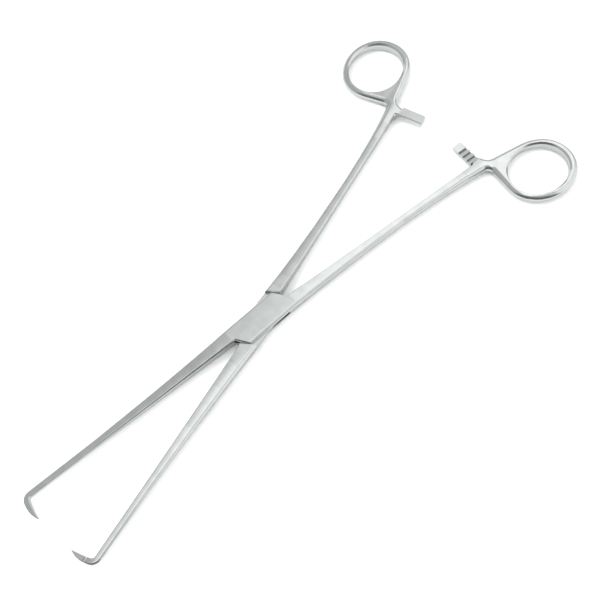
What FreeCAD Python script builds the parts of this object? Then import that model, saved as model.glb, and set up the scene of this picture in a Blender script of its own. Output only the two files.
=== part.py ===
import FreeCAD, Part
import math
import os
import Sketcher
from FreeCAD import Placement, Rotation, Vector

# Tenaculum forceps with a box lock: a slotted half, a half whose tongue passes
# through the slot, and the rivet that joins them. Millimetres.
# Each half is drawn as it lies when closed: handle along +X, jaw along -X and the
# middle plane at z = 0. The slotted half has its shank at -Y and its jaw at +Y,
# and the tongue half is its mirror image in Y. Side is 1 or -1 for the two halves.

sizeValues = {
    # box lock
    "boxThick": 5.2,
    "boxHalfWidth": 5.25,
    "boxEnd": 14.0,
    "lockEnd": 12.9,
    "lockSlant": 0.62,
    "lockGap": 0.4,
    "tongueThick": 1.5,
    "slotClear": 0.05,
    "pinDiameter": 3.0,
    "pinClear": 0.05,
    "outerRound": 0.9,
    "innerRound": 0.3,
    "draft": 0.07,
    # jaw
    "jawPart": 0.12,
    "jawSlope": 0.0635,
    "jawReach": 101.5,
    "jawTipWidth": 2.2,
    "jawTipThick": 2.0,
    # elbow and hook
    "elbowRound": 1.2,
    "elbowTurn": 78.6,
    "hookLength": 7.35,
    "hookCurl": 8.0,
    "hookTipWidth": 0.35,
    "hookTipThick": 0.6,
    "hookLift": 0.35,
    "scarfClear": 0.05,
    "scarfReach": 2.8,
    # shank
    "shankPart": 0.25,
    "shankSlope": 0.0965,
    "shankReach": 105.0,
    "shankWaist": 2.95,
    "shankThick": 3.8,
    "neckWidth": 4.2,
    "neckSlope": 0.18,
    "neckThick": 4.0,
    "neckInset": 0.03,
    # finger ring
    "ringAhead": 24.2,
    "ringAside": 20.77,
    "ringLean": 4.8,
    "ringLong": 34.2,
    "ringWide": 28.7,
    "ringEndWall": 3.2,
    "ringSideWall": 2.9,
    "holeBack": 0.5,
    "holeBevel": 0.7,
    "ovalShare": 0.905,
    "joinOuterAngle": 171.7,
    "joinInnerAngle": 81.6,
    "neckRound": 1.9,
    "neckRoundOut": 2.5,
    "neckRoundIn": 4.2,
    # ratchet arm
    "armAhead": 6.5,
    "armStub": 0.3,
    "armMill": 1.5,
    "armTip": 2.6,
    "armWidth": 4.6,
    "armLean": 5.6,
    "armRound": 1.2,
    "armClear": 0.05,
    "tipRound": 1.2,
    "toothFirst": 0.35,
    "toothPitch": 2.5,
    "toothDepth": 0.9,
    "toothBack": 0.3,
    # opening in the pose at rest, each half
    "restAngle": 5.63,
}

doc = FreeCAD.newDocument("TenaculumForceps")
sizes = doc.addObject("Spreadsheet::Sheet", "Sizes")
for row, (word, number) in enumerate(sizeValues.items(), start=1):
    sizes.set(f"A{row}", word)
    sizes.set(f"B{row}", str(number))
    sizes.setAlias(f"B{row}", word)
doc.recompute()


# a length or volume too small to matter, for telling edges apart
tiny = 0.001

# how far the outline of a cut reaches past the metal
overrun = 1.0


def size(word):
    return float(sizes.get(word))


def value(expression):
    """Number that an expression over the sheet gives now."""
    return float(sizes.evalExpression(expression))


def originPlane(body, role):
    return next(item for item in body.Origin.OriginFeatures if item.Role == role)


def newSketch(body, name, role, offset=Placement()):
    sketch = body.newObject("Sketcher::SketchObject", name)
    sketch.AttachmentSupport = [(originPlane(body, role), "")]
    sketch.MapMode = "FlatFace"
    sketch.AttachmentOffset = offset
    return sketch


def bind(sketch, constraint, name, expression):
    """Adds a named dimension and ties it to the sheet."""
    number = sketch.addConstraint(constraint)
    sketch.renameConstraint(number, name)
    sketch.setExpression(f"Constraints.{name}", expression)


def plain(item):
    """Number behind an expression or a number."""
    return value(item) if isinstance(item, str) else item


def polygon(sketch, corners):
    """Closed outline of straight lines, each corner held by its distances from the origin."""
    points = [Vector(plain(x), plain(y), 0) for x, y in corners]
    count = len(points)
    for index in range(count):
        sketch.addGeometry(Part.LineSegment(points[index], points[(index + 1) % count]), False)
    for index in range(count):
        sketch.addConstraint(Sketcher.Constraint("Coincident", index, 2, (index + 1) % count, 1))
    for index, corner in enumerate(corners):
        for kind, word, item in (("DistanceX", "across", corner[0]), ("DistanceY", "along", corner[1])):
            hold = Sketcher.Constraint(kind, -1, 1, index, 1, plain(item))
            if isinstance(item, str):
                bind(sketch, hold, f"{word}{index}", item)
            else:
                sketch.addConstraint(hold)
    return sketch


def ovalRadii(long, wide):
    """Expressions for the radii of an oval's ends and sides, which meet tangent to each other."""
    end = f"(Sizes.ovalShare * ({wide}) / 2)"
    offset = f"(({long}) / 2 - {end})"
    return end, f"(({offset} ^ 2 + (({wide}) / 2) ^ 2 - {end} ^ 2) / (({wide}) - 2 * {end}))"


def oval(body, name, middle, lean, long, wide):
    """Oval of four arcs, held by its middle, its lean to the X axis, its length and its width."""
    place = Placement(Vector(value(middle[0]), value(middle[1]), 0), Rotation(Vector(0, 0, 1), value(lean)))
    sketch = newSketch(body, name, "XY_Plane", place)
    sketch.setExpression("AttachmentOffset.Base.x", middle[0])
    sketch.setExpression("AttachmentOffset.Base.y", middle[1])
    sketch.setExpression("AttachmentOffset.Rotation.Angle", lean)
    endRadius, sideRadius = ovalRadii(long, wide)
    endAcross, sideAcross = value(endRadius), value(sideRadius)
    ahead, below = value(long) / 2 - endAcross, sideAcross - value(wide) / 2
    meeting = math.degrees(math.atan2(below, ahead))
    arcs = (
        (ahead, 0, endAcross, -meeting, meeting),
        (0, -below, sideAcross, meeting, 180 - meeting),
        (-ahead, 0, endAcross, 180 - meeting, 180 + meeting),
        (0, below, sideAcross, 180 + meeting, 360 - meeting),
    )
    for x, y, radius, start, stop in arcs:
        circle = Part.Circle(Vector(x, y, 0), Vector(0, 0, 1), radius)
        sketch.addGeometry(Part.ArcOfCircle(circle, math.radians(start), math.radians(stop)), False)
    for index, axis in enumerate((-1, -2, -1, -2)):
        sketch.addConstraint(Sketcher.Constraint("Symmetric", index, 1, index, 2, axis))
    sketch.addConstraint(Sketcher.Constraint("Tangent", 0, 2, 1, 1))
    sketch.addConstraint(Sketcher.Constraint("Coincident", 1, 2, 2, 1))
    sketch.addConstraint(Sketcher.Constraint("Coincident", 2, 2, 3, 1))
    sketch.addConstraint(Sketcher.Constraint("Equal", 0, 2))
    sketch.addConstraint(Sketcher.Constraint("Equal", 1, 3))
    bind(sketch, Sketcher.Constraint("Radius", 0, endAcross), "endRadius", endRadius)
    bind(sketch, Sketcher.Constraint("Radius", 1, sideAcross), "sideRadius", sideRadius)
    apart = Sketcher.Constraint("DistanceX", 2, 3, 0, 3, 2 * ahead)
    bind(sketch, apart, "betweenEnds", f"({long}) - 2 * {endRadius}")
    return sketch


def section(body, name, station, side):
    """Cross-section of an arm: its inner edge stands at the station's point.

    It grows outwards from there, and its flats fall a little towards the rounder outer side.
    """
    width, thick = station["width"], station["thick"]
    outer = f"min({station['outer']}; {station['fullness']} * ({thick}); {outerWide} * ({width}))"
    inner = f"min(Sizes.innerRound; {innerThick} * ({thick}); {innerThick} * ({width}))"
    fall = f"(Sizes.draft * {station['drafted']:.5f} * (({width}) - ({outer}) - ({inner})))"
    across, half, big, small, drop = (value(item) for item in (width, f"({thick}) / 2", outer, inner, fall))
    low = half - drop
    place = Vector(station["aside"] * side, station["lift"], station["along"])
    turn = Rotation(Vector(0, 1, 0), station["turn"] * side)
    flip = Rotation(Vector(0, 0, 1), 0 if station["facing"] * side > 0 else 180)
    sketch = newSketch(body, name, "YZ_Plane", Placement(place, turn * flip))

    def arc(x, y, radius, start):
        circle = Part.Circle(Vector(x, y, 0), Vector(0, 0, 1), radius)
        return Part.ArcOfCircle(circle, math.radians(start), math.radians(start + 90))

    outline = [
        Part.LineSegment(Vector(small, -half, 0), Vector(across - big, -low, 0)),
        arc(across - big, -low + big, big, 270),
        Part.LineSegment(Vector(across, -low + big, 0), Vector(across, low - big, 0)),
        arc(across - big, low - big, big, 0),
        Part.LineSegment(Vector(across - big, low, 0), Vector(small, half, 0)),
        arc(small, half - small, small, 90),
        Part.LineSegment(Vector(0, half - small, 0), Vector(0, -half + small, 0)),
        arc(small, -half + small, small, 180),
    ]
    for item in outline:
        sketch.addGeometry(item, False)
    for index in range(8):
        sketch.addConstraint(Sketcher.Constraint("Tangent", index, 2, (index + 1) % 8, 1))
    for index in (2, 6):
        sketch.addConstraint(Sketcher.Constraint("Vertical", index))
    sketch.addConstraint(Sketcher.Constraint("Equal", 1, 3))
    sketch.addConstraint(Sketcher.Constraint("Equal", 5, 7))
    sketch.addConstraint(Sketcher.Constraint("PointOnObject", 6, 1, -2))
    bind(sketch, Sketcher.Constraint("Radius", 1, big), "outer", outer)
    bind(sketch, Sketcher.Constraint("Radius", 5, small), "inner", inner)
    bind(sketch, Sketcher.Constraint("DistanceX", 6, 1, 2, 1, across), "width", width)
    bind(sketch, Sketcher.Constraint("DistanceY", 4, 1, 4, 2, drop), "fallAbove", fall)
    bind(sketch, Sketcher.Constraint("DistanceY", 0, 1, 0, 2, drop), "fallBelow", fall)
    wall = f"({thick}) / 2 - ({inner})"
    bind(sketch, Sketcher.Constraint("DistanceY", -1, 1, 6, 1, half - small), "rise", wall)
    bind(sketch, Sketcher.Constraint("DistanceY", 6, 2, -1, 1, half - small), "depth", wall)
    return sketch


def finish(body, feature, **expressions):
    for name, expression in expressions.items():
        feature.setExpression(name, expression)
    body.Tip = feature
    doc.recompute()
    if feature.Shape.isNull() or not feature.Shape.isValid():
        raise RuntimeError(f"{body.Label}: {feature.Label} gives no valid shape")
    return feature


def loft(body, name, sketches):
    """Arm drawn through its cross-sections."""
    arm = body.newObject("PartDesign::AdditiveLoft", name)
    arm.Profile = sketches[0]
    arm.Sections = sketches[1:]
    arm.Ruled = True
    return finish(body, arm)


def sections(body, name, stations, side):
    drawn = [section(body, f"{name}Section{index}", item, side) for index, item in enumerate(stations)]
    doc.recompute()
    return drawn


def pad(body, name, sketch, length, back=None):
    """Thickens a sketch, to both sides of its plane unless back says which side."""
    feature = body.newObject("PartDesign::Pad", name)
    feature.Profile = sketch
    feature.Midplane = back is None
    feature.Reversed = bool(back)
    return finish(body, feature, Length=length)


def pocket(body, name, sketch, depth, back=None):
    """Cuts a sketch out of the body and stops if nothing comes away."""
    before = body.Shape.Volume
    feature = body.newObject("PartDesign::Pocket", name)
    feature.Profile = sketch
    feature.Midplane = back is None
    feature.Reversed = bool(back)
    finish(body, feature, Length=depth)
    if body.Shape.Volume > before - tiny:
        raise RuntimeError(f"{name} cuts nothing")
    return feature


def dressEdges(body, kind, name, amount, chosen):
    """Rounds or bevels the edges of the body that chosen() picks out."""
    last = body.Tip
    names = [f"Edge{index}" for index, edge in enumerate(last.Shape.Edges, start=1) if chosen(edge)]
    if not names:
        raise RuntimeError(f"{name} finds no edge")
    feature = body.newObject(f"PartDesign::{kind}", name)
    feature.Base = (last, names)
    return finish(body, feature, **{"Radius" if kind == "Fillet" else "Size": amount})


# where the arms' cross-sections stand, as shares of each stretch
jawShares = (0.0, 0.08, 0.2, 0.4, 0.68, 1.0)
waistAt = 0.62
shankShares = (0.0, 0.07, 0.17, 0.35, waistAt, 0.78, 0.9, 1.0)
elbowSteps = 5
hookSteps = 5

# how fast a size falls along its stretch: 1 is straight, more falls sooner
jawFall, waistFall, boxFall, neckRise, hookFall = 1.8, 1.6, 6, 2, 2.4

# largest share of the thickness or of the width that a rounding takes
outerThick, outerWide, innerThick = 0.44, 0.46, 0.2
neckOuterThick, ringSideShare, bevelShare = 0.48, 0.66, 0.3


def taper(first, last, share):
    """Expression for a size that goes from first to last as share goes from 0 to 1."""
    return f"({first}) + (({last}) - ({first})) * {share:.5f}"


def shankStations():
    """Straight inner edge; the width falls to a waist and grows again to the neck."""
    start, reach = size("boxEnd"), size("shankReach")
    neckWidth, neckThick = (f"Sizes.{word} - 2 * Sizes.neckInset" for word in ("neckWidth", "neckThick"))
    lean = -math.degrees(math.atan(size("shankSlope")))
    stations = []
    for share in shankShares:
        along = start + share * (reach - start)
        past = (share - waistAt) / (1 - waistAt)
        if share > waistAt:
            width = taper("Sizes.shankWaist", neckWidth, past ** neckRise)
            thick = taper("Sizes.shankThick", neckThick, past)
        else:
            left = (1 - share / waistAt) ** waistFall
            width = taper("Sizes.shankWaist", "Sizes.boxHalfWidth - Sizes.shankPart", left)
            thick = taper("Sizes.shankThick", "Sizes.boxThick", (1 - share) ** boxFall)
        innerEdge = -size("shankPart") - size("shankSlope") * (along - start)
        stations.append({
            "along": along,
            "aside": innerEdge - size("neckInset") * share ** 2,
            "lift": 0,
            "turn": lean if share else 0,
            "facing": -1,
            "width": width,
            "thick": thick,
            "outer": taper("Sizes.outerRound", "Sizes.neckRound", share),
            "fullness": neckOuterThick,
            "drafted": 1 - (2 * abs(share - 0.5)) ** boxFall,
        })
    return stations


def jawStations(side):
    """Straight taper, then the elbow about the inner corner, then the hook down to its point."""
    start, reach = size("boxEnd"), size("jawReach")
    heading = 180 - math.degrees(math.atan(size("jawSlope")))
    root = "Sizes.boxHalfWidth - Sizes.jawPart"
    stations = []

    def add(along, aside, course, width, thick, lift=0, drafted=1):
        stations.append({
            "along": along, "aside": aside, "lift": lift, "turn": course - 180, "facing": 1,
            "width": width, "thick": thick, "outer": "Sizes.outerRound", "fullness": outerThick,
            "drafted": drafted,
        })

    for share in jawShares:
        along = start + share * (reach - start)
        left = (1 - share) ** jawFall
        add(-along, size("jawPart") + size("jawSlope") * (along - start), heading if share else 180,
            taper("Sizes.jawTipWidth", root, left), taper("Sizes.jawTipThick", "Sizes.boxThick", left),
            drafted=1 - (1 - share) ** boxFall)

    def ahead(point, radius, course, turned):
        """Point and course after turning left along an arc."""
        after = course + turned
        first, last = math.radians(course), math.radians(after)
        along = point[0] + radius * (math.sin(last) - math.sin(first))
        aside = point[1] - radius * (math.cos(last) - math.cos(first))
        return (along, aside), after

    corner = (stations[-1]["along"], stations[-1]["aside"])
    turn = size("elbowTurn")
    for step in range(elbowSteps):
        point, course = ahead(corner, size("elbowRound"), heading, turn * (step + 1) / elbowSteps)
        add(*point, course, "Sizes.jawTipWidth", "Sizes.jawTipThick")

    curl = size("hookCurl")
    bow = size("hookLength") / math.radians(curl)
    root, bend = point, course
    for step in range(hookSteps):
        share = (step + 1) / hookSteps
        point, course = ahead(root, bow, bend, curl * share)
        left = 1 - share ** hookFall
        add(*point, course, taper("Sizes.hookTipWidth", "Sizes.jawTipWidth", left),
            taper("Sizes.hookTipThick", "Sizes.jawTipThick", left), side * size("hookLift") * share ** 2)
    return stations


def shankEnd():
    """Inner corner of the shank's end, where the neck begins."""
    reach = size("shankReach")
    return reach, -size("shankPart") - size("shankSlope") * (reach - size("boxEnd"))


def ringMiddle(back="0"):
    """Expressions for the middle of the ring, or of its hole, seen from the shank's end."""
    along = f"Sizes.shankReach + Sizes.ringAhead - {back}"
    aside = "Sizes.ringAside + Sizes.shankPart + Sizes.shankSlope * (Sizes.shankReach - Sizes.boxEnd)"
    return f"({along})", f"(-({aside}))"


def ringPoint(facing):
    """Point where the ring's outline faces an angle from its long axis, and the outline's slope there."""
    endRadius, sideRadius = (value(item) for item in ovalRadii("Sizes.ringLong", "Sizes.ringWide"))
    ahead, below = size("ringLong") / 2 - endRadius, sideRadius - size("ringWide") / 2
    onSide = math.degrees(math.atan2(below, ahead)) < facing < 180 - math.degrees(math.atan2(below, ahead))
    radius, centre = (sideRadius, Vector(0, -below, 0)) if onSide else (endRadius, Vector(-ahead, 0, 0))
    turned = math.radians(facing)
    point = centre + Vector(math.cos(turned), math.sin(turned), 0) * radius
    lean = Rotation(Vector(0, 0, 1), -size("ringLean"))
    spot = lean.multVec(point)
    along, aside = (value(item) for item in ringMiddle())
    return along + spot.x, aside + spot.y, -1 / math.tan(turned - math.radians(size("ringLean")))


def meet(first, second):
    """Where two lines cross, each given by a point and a slope."""
    (ax, ay, m), (bx, by, n) = first, second
    x = (by - ay + m * ax - n * bx) / (m - n)
    return x, ay + m * (x - ax)


def addHandle(body, side):
    """Ring, neck and ratchet arm: one flat forging with rounded edges."""
    half = size("neckThick") / 2
    reach, innerSide = shankEnd()
    upright = 1 / math.tan(math.radians(size("armLean")))
    inner = (reach, innerSide, -size("shankSlope"))
    outer = (reach, innerSide - size("neckWidth"), -size("neckSlope"))
    near = (reach + size("armAhead"), innerSide, upright)
    far = (near[0] + size("armWidth") / math.cos(math.radians(size("armLean"))), innerSide, upright)
    joinOut, joinIn = ringPoint(size("joinOuterAngle")), ringPoint(size("joinInnerAngle"))
    crotch, outCorner, inCorner = meet(inner, near), meet(outer, joinOut), meet(far, joinIn)

    # the arm starts just past the end of the fillet in the neck's inner crotch
    corner = abs(math.atan(far[2]) - math.atan(joinIn[2]))
    clear = size("neckRoundIn") / math.tan(corner / 2) + size("armStub")
    pastCrotch = innerSide + size("armRound") / math.tan(math.radians(45) - abs(math.atan(inner[2])) / 2)
    armRoot = max(inCorner[1] + clear * math.cos(math.radians(size("armLean"))), pastCrotch + size("armStub"))
    start = reach - size("innerRound")

    def across(line, aside):
        return line[0] + (aside - line[1]) / line[2], aside

    def beside(line, along):
        return along, line[1] + (along - line[0]) * line[2]

    middle = ringMiddle()
    middle = (middle[0], f"{middle[1]} * {side}")
    lean = f"-Sizes.ringLean * {side}"
    ring = oval(body, "RingOutline", middle, lean, "Sizes.ringLong", "Sizes.ringWide")
    pad(body, "Ring", ring, "Sizes.neckThick")
    corners = [beside(inner, start), beside(outer, start), outCorner, joinOut[:2],
               (value(middle[0]), value(middle[1]) * side), joinIn[:2], inCorner,
               across(far, armRoot), across(near, armRoot), crotch]
    web = newSketch(body, "NeckOutline", "XY_Plane")
    pad(body, "Neck", polygon(web, [(x, y * side) for x, y in corners]), "Sizes.neckThick")

    def cornerAt(corner):
        def chosen(edge):
            low, high = edge.BoundBox.ZMin, edge.BoundBox.ZMax
            spot = edge.CenterOfMass
            return high - low > half and math.hypot(spot.x - corner[0], spot.y - corner[1] * side) < 10 * tiny
        return chosen

    dressEdges(body, "Fillet", "OuterCrotch", "Sizes.neckRoundOut", cornerAt(outCorner))
    dressEdges(body, "Fillet", "InnerCrotch", "Sizes.neckRoundIn", cornerAt(inCorner))
    dressEdges(body, "Fillet", "ArmCrotch", "Sizes.armRound", cornerAt(crotch))

    middle = (ringMiddle("Sizes.holeBack")[0], middle[1])
    hole = oval(body, "HoleOutline", middle, lean, "Sizes.ringLong - 2 * Sizes.ringEndWall",
                "Sizes.ringWide - 2 * Sizes.ringSideWall")
    pocket(body, "FingerHole", hole, "Sizes.neckThick * 2")

    def flat(edge):
        """Edge of the top or the bottom face."""
        level = edge.BoundBox.ZMax - edge.BoundBox.ZMin < tiny
        return level and abs(abs(edge.CenterOfMass.z) - half) < tiny

    def holeEdge(edge):
        """Edge of the finger hole: an arc that passes nearer to the middle than the ring's outline does."""
        spot = edge.valueAt((edge.FirstParameter + edge.LastParameter) / 2)
        away = math.hypot(spot.x - value(middle[0]), spot.y - value(middle[1]))
        onHole = away < (size("ringLong") - size("ringEndWall")) / 2 and edge.Curve.TypeId == "Part::GeomCircle"
        return flat(edge) and onHole

    def joint(edge):
        """Edge that the shank or the arm covers."""
        spot = edge.CenterOfMass
        return abs(spot.x - start) < tiny or abs(spot.y * side - armRoot) < tiny

    def innerEdge(edge):
        spot = edge.CenterOfMass
        past = spot.x < near[0] + size("armRound") and spot.y * side > innerSide - size("neckWidth") / 2
        return flat(edge) and past and not joint(edge)

    def outerEdge(edge):
        return flat(edge) and not (holeEdge(edge) or innerEdge(edge) or joint(edge))

    withinWall = f"{ringSideShare} * Sizes.ringSideWall; {neckOuterThick} * Sizes.neckThick"
    dressEdges(body, "Fillet", "OuterRounding", f"min(Sizes.neckRound; {withinWall})", outerEdge)
    dressEdges(body, "Chamfer", "HoleBevel", f"min(Sizes.holeBevel; {bevelShare} * Sizes.ringSideWall)", holeEdge)

    tip = size("armTip")
    sunk = armRoot - size("armRound") / 2
    arm = newSketch(body, "ArmOutline", "XY_Plane")
    corners = [across(near, sunk), across(near, tip), across(far, tip), across(far, sunk)]
    pad(body, "RatchetArm", polygon(arm, [(x, y * side) for x, y in corners]), "Sizes.neckThick")
    dressEdges(body, "Fillet", "ArmTip", "Sizes.tipRound", cornerAt(corners[2]))
    dressEdges(body, "Chamfer", "InnerBevel", "Sizes.innerRound", innerEdge)
    millTeeth(body, side, across(near, 0)[0], armRoot - size("armMill"))


def millTeeth(body, side, near, root):
    """Cuts the ratchet arm to half its thickness, with saw teeth on the face that meets the other arm.

    Each tooth slopes up towards the arm's root from a steep drop on the tip side of it, and
    as many teeth stand on the arm as fit between its tip and its root.
    """
    over, face = size("neckThick"), -size("armClear")
    valley = face - size("toothDepth")
    profile = [(size("armTip") * 2, over), (size("armTip") * 2, face)]
    room = -size("toothFirst") - 2 * size("toothBack") - root
    for index in range(int(room / size("toothPitch")) + 1):
        crest = -size("toothFirst") - index * size("toothPitch")
        profile += [(crest, face), (crest - size("toothBack"), valley)]
    profile += [(root, valley), (root, over)]
    turn = Rotation(Vector(0, 1, 0), -size("armLean") * side)
    place = Vector(0, 0, near - 2 * size("armRound"))
    sketch = newSketch(body, "ToothProfile", "YZ_Plane", Placement(place, turn))

    # across the arm, past the crotch on its near side and past the neck's flare on its far side
    fall = size("armMill") - size("armStub")
    flare = size("neckRoundIn") - math.sqrt(max(size("neckRoundIn") ** 2 - fall ** 2, 0))
    depth = 2 * size("armRound") + size("armWidth") + flare + size("armStub")
    teeth = polygon(sketch, [(x * side, y * side) for x, y in profile])
    pocket(body, "Teeth", teeth, str(depth), back=True)


def addLock(body, side, slotted):
    """Box: a bar with slanted ends, slotted in one half and cut down to a tongue in the other."""
    bar = newSketch(body, "BarSection", "YZ_Plane")
    wide, half, corner = size("boxHalfWidth"), size("boxThick") / 2, size("outerRound")
    outline = [
        Part.LineSegment(Vector(-wide + corner, -half, 0), Vector(wide - corner, -half, 0)),
        Part.LineSegment(Vector(wide, -half + corner, 0), Vector(wide, half - corner, 0)),
        Part.LineSegment(Vector(wide - corner, half, 0), Vector(-wide + corner, half, 0)),
        Part.LineSegment(Vector(-wide, half - corner, 0), Vector(-wide, -half + corner, 0)),
    ]
    for x, y, start in ((wide, -half, 270), (wide, half, 0), (-wide, half, 90), (-wide, -half, 180)):
        centre = Vector(x - math.copysign(corner, x), y - math.copysign(corner, y), 0)
        circle = Part.Circle(centre, Vector(0, 0, 1), corner)
        outline.append(Part.ArcOfCircle(circle, math.radians(start), math.radians(start + 90)))
    for item in outline:
        bar.addGeometry(item, False)
    for index in range(4):
        bar.addConstraint(Sketcher.Constraint("Tangent", index, 2, index + 4, 1))
        bar.addConstraint(Sketcher.Constraint("Tangent", index + 4, 2, (index + 1) % 4, 1))
        bar.addConstraint(Sketcher.Constraint("Vertical" if index % 2 else "Horizontal", index))
    for index in (5, 6, 7):
        bar.addConstraint(Sketcher.Constraint("Equal", 4, index))
    bind(bar, Sketcher.Constraint("Radius", 4, corner), "corner", "Sizes.outerRound")
    bind(bar, Sketcher.Constraint("DistanceX", 3, 1, 1, 1, 2 * wide), "width", "Sizes.boxHalfWidth * 2")
    bind(bar, Sketcher.Constraint("DistanceY", 0, 1, 2, 1, 2 * half), "thick", "Sizes.boxThick")
    bind(bar, Sketcher.Constraint("DistanceX", -1, 1, 1, 1, wide), "aside", "Sizes.boxHalfWidth")
    bind(bar, Sketcher.Constraint("DistanceY", -1, 1, 2, 1, half), "rise", "Sizes.boxThick / 2")
    pad(body, "Bar", bar, "Sizes.boxEnd * 2")

    beyond = f"(Sizes.boxHalfWidth + {overrun})"
    past = f"(Sizes.boxEnd + {2 * overrun})"
    end = "Sizes.lockEnd"
    webs = "(Sizes.lockEnd + Sizes.lockGap)"

    def slant(start, way, aside):
        """End of a line that starts on the middle line and slants back to the box's side."""
        return (f"({start} - Sizes.lockSlant * {beyond}) * {way}", f"{beyond} * {aside * side}")

    def middle(start, way, aside="0"):
        return (f"{start} * {way}", f"({aside}) * {side}")

    handleCorner = middle(f"({end} + Sizes.lockSlant * Sizes.shankPart)", 1, "-Sizes.shankPart")
    handleEnd = [slant(end, 1, 1), handleCorner, middle(past, 1, "-Sizes.shankPart"), (past, f"{beyond} * {side}")]
    jawCorner = middle(f"({end} - Sizes.lockSlant * Sizes.jawPart)", -1, "Sizes.jawPart")
    jawEnd = [slant(end, -1, -1), jawCorner, middle(past, -1, "Sizes.jawPart"), (f"-{past}", f"-{beyond} * {side}")]
    for name, corners in (("HandleStep", handleEnd), ("JawStep", jawEnd)):
        step = polygon(newSketch(body, f"{name}Outline", "XY_Plane"), corners)
        pocket(body, name, step, "Sizes.boxThick * 2")

    # the other half's arms pass here: between the webs in the slotted half, and above
    # and below the tongue in the other
    passage = [middle(webs, 1), slant(webs, 1, -1), (f"-{past}", f"-{beyond} * {side}"), middle(past, -1),
               middle(webs, -1), slant(webs, -1, 1), (past, f"{beyond} * {side}"), middle(past, 1)]
    if slotted:
        slot = polygon(newSketch(body, "SlotOutline", "XY_Plane"), passage)
        pocket(body, "Slot", slot, "Sizes.tongueThick + 2 * Sizes.slotClear")
    else:
        for name, way, back in (("UpperCheekRoom", 1, True), ("LowerCheekRoom", -1, False)):
            place = Placement(Vector(0, 0, way * size("tongueThick") / 2), Rotation())
            room = polygon(newSketch(body, f"{name}Outline", "XY_Plane", place), passage)
            room.setExpression("AttachmentOffset.Base.z", f"Sizes.tongueThick / 2 * {way}")
            pocket(body, name, room, "Sizes.boxThick", back=back)


def addScarf(body, side):
    """Grinds the hook flat on the face that the other hook slides over."""
    inward, outward = -size("hookLength"), size("scarfReach")
    face, high = size("scarfClear"), size("jawTipThick")
    corners = [(inward, -face), (outward, -face), (outward + face + high, high), (inward, high)]
    place = Placement(Vector(0, 0, -size("jawReach")), Rotation())
    sketch = newSketch(body, "ScarfProfile", "YZ_Plane", place)
    scarf = polygon(sketch, [(x * side, -y * side) for x, y in corners])
    pocket(body, "Scarf", scarf, "Sizes.hookLength * 2", back=False)


def addBore(body, radius):
    sketch = newSketch(body, "BoreOutline", "XY_Plane")
    sketch.addGeometry(Part.Circle(Vector(), Vector(0, 0, 1), value(radius)), False)
    sketch.addConstraint(Sketcher.Constraint("Coincident", 0, 3, -1, 1))
    bind(sketch, Sketcher.Constraint("Radius", 0, value(radius)), "bore", radius)
    return sketch


def forgeHalf(name, side, slotted):
    body = doc.addObject("PartDesign::Body", name)
    body.Label = name
    body.AllowCompound = True
    addHandle(body, side)
    loft(body, "Shank", sections(body, "Shank", shankStations(), side))
    addLock(body, side, slotted)
    drawn = sections(body, "Jaw", jawStations(side), side)
    elbowFirst, elbowLast = len(jawShares) - 1, len(jawShares) + elbowSteps - 1
    loft(body, "Jaw", drawn[:elbowFirst + 1])
    loft(body, "Elbow", drawn[elbowFirst:elbowLast + 1])
    loft(body, "Hook", drawn[elbowLast:])
    addScarf(body, side)
    clearance = "Sizes.pinDiameter / 2" if slotted else "Sizes.pinDiameter / 2 + Sizes.pinClear"
    pocket(body, "PinBore", addBore(body, clearance), "Sizes.boxThick * 2")
    turn = Rotation(Vector(0, 0, 1), -side * size("restAngle"))
    body.Placement = Placement(Vector(0, 0, size("boxThick") / 2), turn)
    return body


def makePin():
    body = doc.addObject("PartDesign::Body", "joint_pin")
    body.Label = "joint_pin"
    pad(body, "Pin", addBore(body, "Sizes.pinDiameter / 2"), "Sizes.boxThick")
    body.Placement = Placement(Vector(0, 0, size("boxThick") / 2), Rotation())
    return body


parts = [forgeHalf("box_half", 1, True), forgeHalf("tongue_half", -1, False), makePin()]
doc.recompute()

for item in doc.Objects:
    if "Invalid" in item.State or "Error" in item.State:
        raise RuntimeError(f"{item.Label} failed: {item.State}")
for part in parts:
    if part.Shape.isNull() or not part.Shape.isValid() or len(part.Shape.Solids) != 1:
        raise RuntimeError(f"{part.Label} has no single valid solid")

os.makedirs("parts", exist_ok=True)
for part in parts:
    part.Shape.exportStep(f"parts/{part.Label}.step")
    print(part.Label, f"{part.Shape.Volume:.1f} mm3", part.Shape.BoundBox)
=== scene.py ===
import math

import bpy
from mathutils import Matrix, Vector

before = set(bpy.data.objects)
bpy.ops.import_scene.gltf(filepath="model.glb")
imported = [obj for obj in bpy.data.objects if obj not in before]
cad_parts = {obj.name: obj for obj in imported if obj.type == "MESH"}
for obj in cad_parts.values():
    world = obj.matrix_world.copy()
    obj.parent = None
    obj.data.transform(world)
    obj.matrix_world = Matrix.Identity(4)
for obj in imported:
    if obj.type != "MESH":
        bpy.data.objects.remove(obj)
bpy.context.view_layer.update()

print("frame loaded")

mm = 0.001


# sRGB hex colour as linear RGBA
def linear(hexColour):
    channels = [int(hexColour[i:i + 2], 16) / 255 for i in (1, 3, 5)]
    return tuple(c / 12.92 if c <= 0.04045 else ((c + 0.055) / 1.055) ** 2.4 for c in channels) + (1.0,)


# unit vector towards a place seen at an azimuth and elevation in degrees
def outTo(azimuth, elevation):
    a, e = math.radians(azimuth), math.radians(elevation)
    return Vector((math.sin(a) * math.cos(e), -math.cos(a) * math.cos(e), math.sin(e)))


# adds a shader node; an input is a plain value or another node's output socket, by name or by number
# (a Mix node's two numbers are 2 and 3, its two colours 6 and 7)
def addNode(tree, kind, inputs=None, **settings):
    node = tree.nodes.new(kind)
    for name, setting in settings.items():
        setattr(node, name, setting)
    for name, item in (inputs or {}).items():
        if isinstance(item, bpy.types.NodeSocket):
            tree.links.new(item, node.inputs[name])
        else:
            node.inputs[name].default_value = item
    return node


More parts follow.
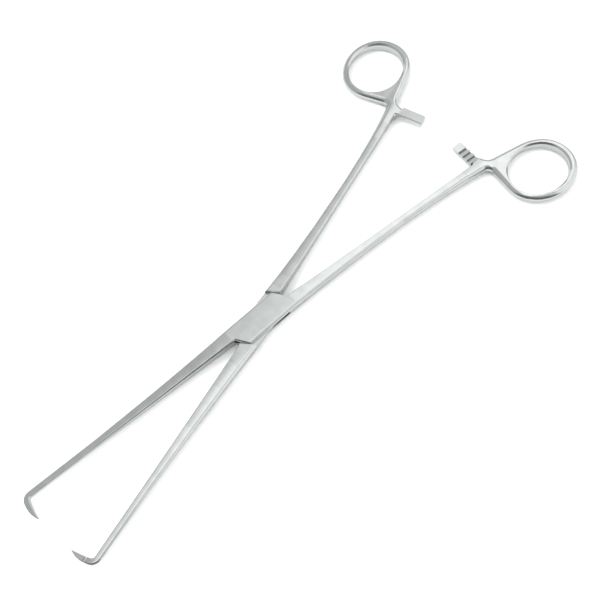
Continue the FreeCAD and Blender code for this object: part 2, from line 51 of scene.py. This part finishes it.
# Martensitic stainless steel, ground with a fine belt and then satin polished by hand: to the eye a soft
# grey mirror with hair-fine marks along the piece, slightly uneven, with painted shade darkening its inner
# corners.
satinSteel = {
    "light": "#dadcdb",
    "dark": "#c2c6c6",
    "patch": 5 * mm,  # size of the polishing's uneven patches
    "markLong": 5 * mm,  # grinding marks; real ones are about 0.02 mm wide, too fine to show
    "markWide": 0.07 * mm,
    "markDeep": 0.0003 * mm,
    "markFrom": (0.3, 0.7),  # range of the noise that the marks use
    "markTone": (0.98, 1.02),
    "rough": (0.17, 0.24),
    # painted shade in inner corners: how far to look for surrounding surfaces, how open a corner is, and
    # the darkest tone
    "paintedShadeReach": 0.9 * mm,
    "paintedShadeOpen": (0.45, 0.85),  # how open to its surroundings a corner is, from darkest painted shade to none
    "paintedShadeTone": 0.2,
    "crossing": 12 * mm,  # over this length the metal crosses from the jaw's side to the handle's
    "armSlopes": (0.0917, -0.046),  # middle line of the handle and of the jaw
    "armApart": 1.75 * mm,
    "crown": 0.12 * mm,  # roundness of the ground faces
    "crownWide": 4.5 * mm,
    "crownStarts": (12 * mm, 26 * mm),  # the box itself is ground flat
    "midHeight": 2.6 * mm,
    "leanAt": (-101 * mm, 30 * mm),  # roundness of the sides, from the jaw's thin end to the handle
    "lean": (1.0 / mm, 0.2 / mm),
}

# turn undoes the half's opening at rest, side is the side of the middle line that its jaw isn't on,
# and fall is how far its ground faces fall inwards
halves = {
    "box_half": {"turn": 5.63, "side": -1.0, "fall": 0.02 * mm},
    "tongue_half": {"turn": -5.63, "side": 1.0, "fall": 0.11 * mm},
    "joint_pin": {"turn": 5.63, "side": -1.0, "fall": 0.02 * mm},
}
sharpFrom = math.radians(50)  # an edge that turns more than this stays crisp


# the steel, its marks laid along the half's own length, with painted shade in its inner corners
def steel(name, finish, half):
    material = bpy.data.materials.new(name)
    material.use_nodes = True
    tree = material.node_tree
    shader = tree.nodes["Principled BSDF"]
    place = addNode(tree, "ShaderNodeTexCoord").outputs["Object"]
    turn = (0, 0, math.radians(half["turn"]))
    own = addNode(tree, "ShaderNodeMapping", {"Vector": place, "Rotation": turn}).outputs["Vector"]

    # grinding marks: long along the piece, a fraction of a millimetre across it
    fine = 1 / finish["markWide"]
    stretch = (1 / finish["markLong"], fine, fine)
    drawn = addNode(tree, "ShaderNodeMapping", {"Vector": own, "Scale": stretch}).outputs["Vector"]
    noise = {"Vector": drawn, "Scale": 1.0, "Detail": 3.0, "Roughness": 0.6}
    grain = addNode(tree, "ShaderNodeTexNoise", noise).outputs["Fac"]

    # slow unevenness left by hand polishing
    noise = {"Vector": own, "Scale": 1 / finish["patch"], "Detail": 2.0}
    cloud = addNode(tree, "ShaderNodeTexNoise", noise).outputs["Fac"]
    tones = {"Factor": cloud, 6: linear(finish["dark"]), 7: linear(finish["light"])}
    tone = addNode(tree, "ShaderNodeMix", tones, data_type="RGBA").outputs[2]
    low, high = finish["markFrom"]
    spread = {"Value": grain, "From Min": low, "From Max": high}
    streaks = addNode(tree, "ShaderNodeMapRange", spread).outputs["Result"]
    scaled = []
    for low, high in (finish["markTone"], finish["rough"]):
        inputs = {0: streaks, 1: high - low, 2: low}
        scaled.append(addNode(tree, "ShaderNodeMath", inputs, operation="MULTIPLY_ADD").outputs["Value"])
    markTone, rough = scaled
    tree.links.new(rough, shader.inputs["Roughness"])

    # painted shade: the colour is darkened in inner corners, by how closely surfaces of the same half
    # surround each point
    inputs = {"Distance": finish["paintedShadeReach"]}
    openness = addNode(tree, "ShaderNodeAmbientOcclusion", inputs, samples=6, only_local=True).outputs["AO"]
    low, high = finish["paintedShadeOpen"]
    inputs = {"Value": openness, "From Min": low, "From Max": high, "To Min": finish["paintedShadeTone"]}
    paintedShade = addNode(tree, "ShaderNodeMapRange", inputs).outputs["Result"]
    # the base colour carries this painted shade, multiplied with the grinding marks' tone
    inputs = {0: markTone, 1: paintedShade}
    marksAndPaintedShade = addNode(tree, "ShaderNodeMath", inputs, operation="MULTIPLY").outputs["Value"]
    inputs = {0: tone, "Scale": marksAndPaintedShade}
    colour = addNode(tree, "ShaderNodeVectorMath", inputs, operation="SCALE").outputs["Vector"]
    tree.links.new(colour, shader.inputs["Base Color"])

    # how far a point lies from the middle line of its jaw or handle
    axes = addNode(tree, "ShaderNodeSeparateXYZ", {"Vector": own})
    ahead = axes.outputs["X"]
    inputs = {0: ahead, 1: finish["crossing"]}
    over = addNode(tree, "ShaderNodeMath", inputs, operation="DIVIDE").outputs["Value"]
    turned = addNode(tree, "ShaderNodeMath", {0: over}, operation="TANH").outputs["Value"]
    inputs = {0: axes.outputs["Y"], 1: half["side"]}
    aside = addNode(tree, "ShaderNodeMath", inputs, operation="MULTIPLY").outputs["Value"]
    inputs = {0: turned, 1: aside}
    outwards = addNode(tree, "ShaderNodeMath", inputs, operation="MULTIPLY").outputs["Value"]
    lines = []
    for slope in finish["armSlopes"]:
        inputs = {0: ahead, 1: slope, 2: finish["armApart"]}
        lines.append(addNode(tree, "ShaderNodeMath", inputs, operation="MULTIPLY_ADD").outputs["Value"])
    middle = addNode(tree, "ShaderNodeMath", dict(enumerate(lines)), operation="MAXIMUM").outputs["Value"]
    inputs = {0: outwards, 1: middle}
    off = addNode(tree, "ShaderNodeMath", inputs, operation="SUBTRACT").outputs["Value"]

    # ground faces are slightly round across the jaw or handle and fall a little inwards
    wide = finish["crownWide"]
    inputs = {"Value": off, "From Min": -wide, "From Max": wide, "To Min": 0.0, "To Max": half["fall"]}
    fallen = addNode(tree, "ShaderNodeMapRange", inputs, interpolation_type="SMOOTHSTEP").outputs["Result"]
    off = addNode(tree, "ShaderNodeMath", {0: off}, operation="ABSOLUTE").outputs["Value"]
    inputs = {"Value": off, "From Max": wide, "To Min": finish["crown"], "To Max": 0.0}
    crown = addNode(tree, "ShaderNodeMapRange", inputs, interpolation_type="SMOOTHSTEP").outputs["Result"]
    crown = addNode(tree, "ShaderNodeMath", {0: crown, 1: fallen}, operation="ADD").outputs["Value"]
    away = addNode(tree, "ShaderNodeMath", {0: ahead}, operation="ABSOLUTE").outputs["Value"]
    low, high = finish["crownStarts"]
    inputs = {"Value": away, "From Min": low, "From Max": high}
    flat = addNode(tree, "ShaderNodeMapRange", inputs, interpolation_type="SMOOTHSTEP").outputs["Result"]
    crown = addNode(tree, "ShaderNodeMath", {0: crown, 1: flat}, operation="MULTIPLY").outputs["Value"]

    # the sides are round too: they lean back towards the upper edge, the thinner the piece the more
    inputs = {"Value": ahead}
    inputs["From Min"], inputs["From Max"] = finish["leanAt"]
    inputs["To Min"], inputs["To Max"] = finish["lean"]
    lean = addNode(tree, "ShaderNodeMapRange", inputs).outputs["Result"]
    inputs = {0: axes.outputs["Z"], 1: finish["midHeight"]}
    rise = addNode(tree, "ShaderNodeMath", inputs, operation="SUBTRACT").outputs["Value"]
    rise = addNode(tree, "ShaderNodeMath", {0: rise, 1: 0.0}, operation="MAXIMUM").outputs["Value"]
    lean = addNode(tree, "ShaderNodeMath", {0: rise, 1: lean}, operation="MULTIPLY").outputs["Value"]
    normal = addNode(tree, "ShaderNodeNewGeometry").outputs["Normal"]
    facing = addNode(tree, "ShaderNodeSeparateXYZ", {"Vector": normal}).outputs["Z"]
    inputs = {0: 1.0, 1: facing}
    upright = addNode(tree, "ShaderNodeMath", inputs, operation="SUBTRACT", use_clamp=True).outputs["Value"]
    lean = addNode(tree, "ShaderNodeMath", {0: lean, 1: upright}, operation="MULTIPLY").outputs["Value"]
    lean = addNode(tree, "ShaderNodeCombineXYZ", {"Z": lean}).outputs["Vector"]
    normal = addNode(tree, "ShaderNodeVectorMath", {0: normal, 1: lean}, operation="ADD").outputs["Vector"]
    normal = addNode(tree, "ShaderNodeVectorMath", {0: normal}, operation="NORMALIZE").outputs["Vector"]

    inputs = {0: grain, 1: finish["markDeep"], 2: crown}
    height = addNode(tree, "ShaderNodeMath", inputs, operation="MULTIPLY_ADD").outputs["Value"]
    inputs = {"Height": height, "Normal": normal, "Strength": 1.0, "Distance": 1.0}
    normal = addNode(tree, "ShaderNodeBump", inputs).outputs["Normal"]
    tree.links.new(normal, shader.inputs["Normal"])
    shader.inputs["Metallic"].default_value = 1.0
    return material


for node, half in halves.items():
    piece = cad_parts[node]
    piece.data.materials.clear()
    piece.data.materials.append(steel(f"satin steel of the {node.replace('_', ' ')}", satinSteel, half))
    for face in piece.data.polygons:
        face.use_smooth = True
    piece.data.set_sharp_from_angle(angle=sharpFrom)
    weighted = piece.modifiers.new("even normals", "WEIGHTED_NORMAL")
    weighted.keep_sharp = True
print("steel applied")

# matt white backdrop paper, laid flat: white to the camera, a little dimmer in the steel
paper = {"size": 4.0, "under": 0.02 * mm, "seen": "#ffffff", "mirrored": "#e0e2e2"}
bpy.ops.mesh.primitive_plane_add(size=paper["size"], location=(0, 0, -paper["under"]))
floor = bpy.context.object
floor.name = "floor"
matt = bpy.data.materials.new("matt white paper")
matt.use_nodes = True
tree = matt.node_tree
tree.nodes.remove(tree.nodes["Principled BSDF"])
glossy = addNode(tree, "ShaderNodeLightPath").outputs["Is Glossy Ray"]
tones = {"Factor": glossy, 6: linear(paper["seen"]), 7: linear(paper["mirrored"])}
tone = addNode(tree, "ShaderNodeMix", tones, data_type="RGBA").outputs[2]
surface = addNode(tree, "ShaderNodeBsdfDiffuse", {"Color": tone})
tree.links.new(surface.outputs["BSDF"], tree.nodes["Material Output"].inputs["Surface"])
floor.data.materials.append(matt)

# the studio as the steel mirrors it: grey, painted over patch by patch, each an oval round a direction
studio = {
    "grey": 0.58,
    "seen": 1.3,
    "patches": (
        # long softbox overhead, and a smaller one beside it
        {"at": (0.43, 0.09, 0.0), "half": (0.44, 0.233, 99.0), "edge": (0.80, 1.20), "level": 1.45},
        {"at": (0.00, -0.06, 0.0), "half": (0.40, 0.16, 99.0), "edge": (0.60, 1.20), "level": 1.7},
        # backdrop paper low down behind
        {"at": (0.60, 0.75, 0.0), "half": (0.60, 0.60, 0.30), "edge": (0.80, 1.20), "level": 1.2},
        # dark room in front, and a pale wall to its right
        {"at": (-0.70, -0.70, 0.1), "half": (1.00, 1.00, 0.80), "edge": (0.90, 1.12), "level": 0.15},
        {"at": (0.60, -0.65, 0.4), "half": (0.50, 0.60, 0.70), "edge": (0.75, 1.10), "level": 1.2},
    ),
}
world = bpy.data.worlds.new("studio")
bpy.context.scene.world = world
world.use_nodes = True
tree = world.node_tree
sky = addNode(tree, "ShaderNodeTexCoord").outputs["Generated"]
mirrored = studio["grey"]
for patch in studio["patches"]:
    narrow = tuple(1 / half for half in patch["half"])
    shift = tuple(-at / half for at, half in zip(patch["at"], patch["half"]))
    inputs = {0: sky, 1: narrow, 2: shift}
    off = addNode(tree, "ShaderNodeVectorMath", inputs, operation="MULTIPLY_ADD").outputs["Vector"]
    off = addNode(tree, "ShaderNodeVectorMath", {0: off}, operation="LENGTH").outputs["Value"]
    inner, outer = patch["edge"]
    inputs = {"Value": off, "From Min": inner, "From Max": outer, "To Min": 1.0, "To Max": 0.0}
    cover = addNode(tree, "ShaderNodeMapRange", inputs, interpolation_type="SMOOTHSTEP").outputs["Result"]
    inputs = {0: cover, 2: mirrored, 3: patch["level"]}
    mirrored = addNode(tree, "ShaderNodeMix", inputs, data_type="FLOAT").outputs[0]
glossy = addNode(tree, "ShaderNodeLightPath").outputs["Is Glossy Ray"]
inputs = {0: glossy, 2: studio["seen"], 3: mirrored}
strength = addNode(tree, "ShaderNodeMix", inputs, data_type="FLOAT").outputs[0]
tree.links.new(strength, tree.nodes["Background"].inputs["Strength"])
tree.nodes["Background"].inputs["Color"].default_value = linear("#ffffff")

# soft lamp from behind on the left, for the shadow; the steel doesn't mirror it
key = {"azimuth": -150, "elevation": 55, "distance": 0.9, "size": 0.5, "power": 4, "aim": (15 * mm, 0, 0)}
light = bpy.data.lights.new("key", "AREA")
light.shape = "RECTANGLE"
light.size, light.size_y = key["size"], key["size"]
light.energy = key["power"]
lamp = bpy.data.objects.new("key", light)
out = outTo(key["azimuth"], key["elevation"])
lamp.location = Vector(key["aim"]) + out * key["distance"]
lamp.rotation_euler = out.to_track_quat("Z", "Y").to_euler()
lamp.visible_glossy = False
bpy.context.collection.objects.link(lamp)
print("stage lit")

# camera as fitted to the photograph: where it looks, from where, and its field of view
view = {
    "azimuth": -50.102,
    "elevation": 62.412,
    "distance": 329.609 * mm,
    "focus": (15.613 * mm, -8.022 * mm, 2.6 * mm),
    "focal": 869.155,  # pixels, in a picture so many pixels wide
    "wide": 608,
    "sensor": 36,
    "nearest": 0.01,
}
lens = bpy.data.cameras.new("camera")
lens.sensor_width = view["sensor"]
lens.lens = view["focal"] * view["sensor"] / view["wide"]
lens.clip_start = view["nearest"]
camera = bpy.data.objects.new("camera", lens)
out = outTo(view["azimuth"], view["elevation"])
camera.location = Vector(view["focus"]) + out * view["distance"]
camera.rotation_euler = out.to_track_quat("Z", "Y").to_euler()
bpy.context.collection.objects.link(camera)
bpy.context.scene.camera = camera
bpy.context.scene.view_settings.view_transform = "Standard"
print("camera placed")
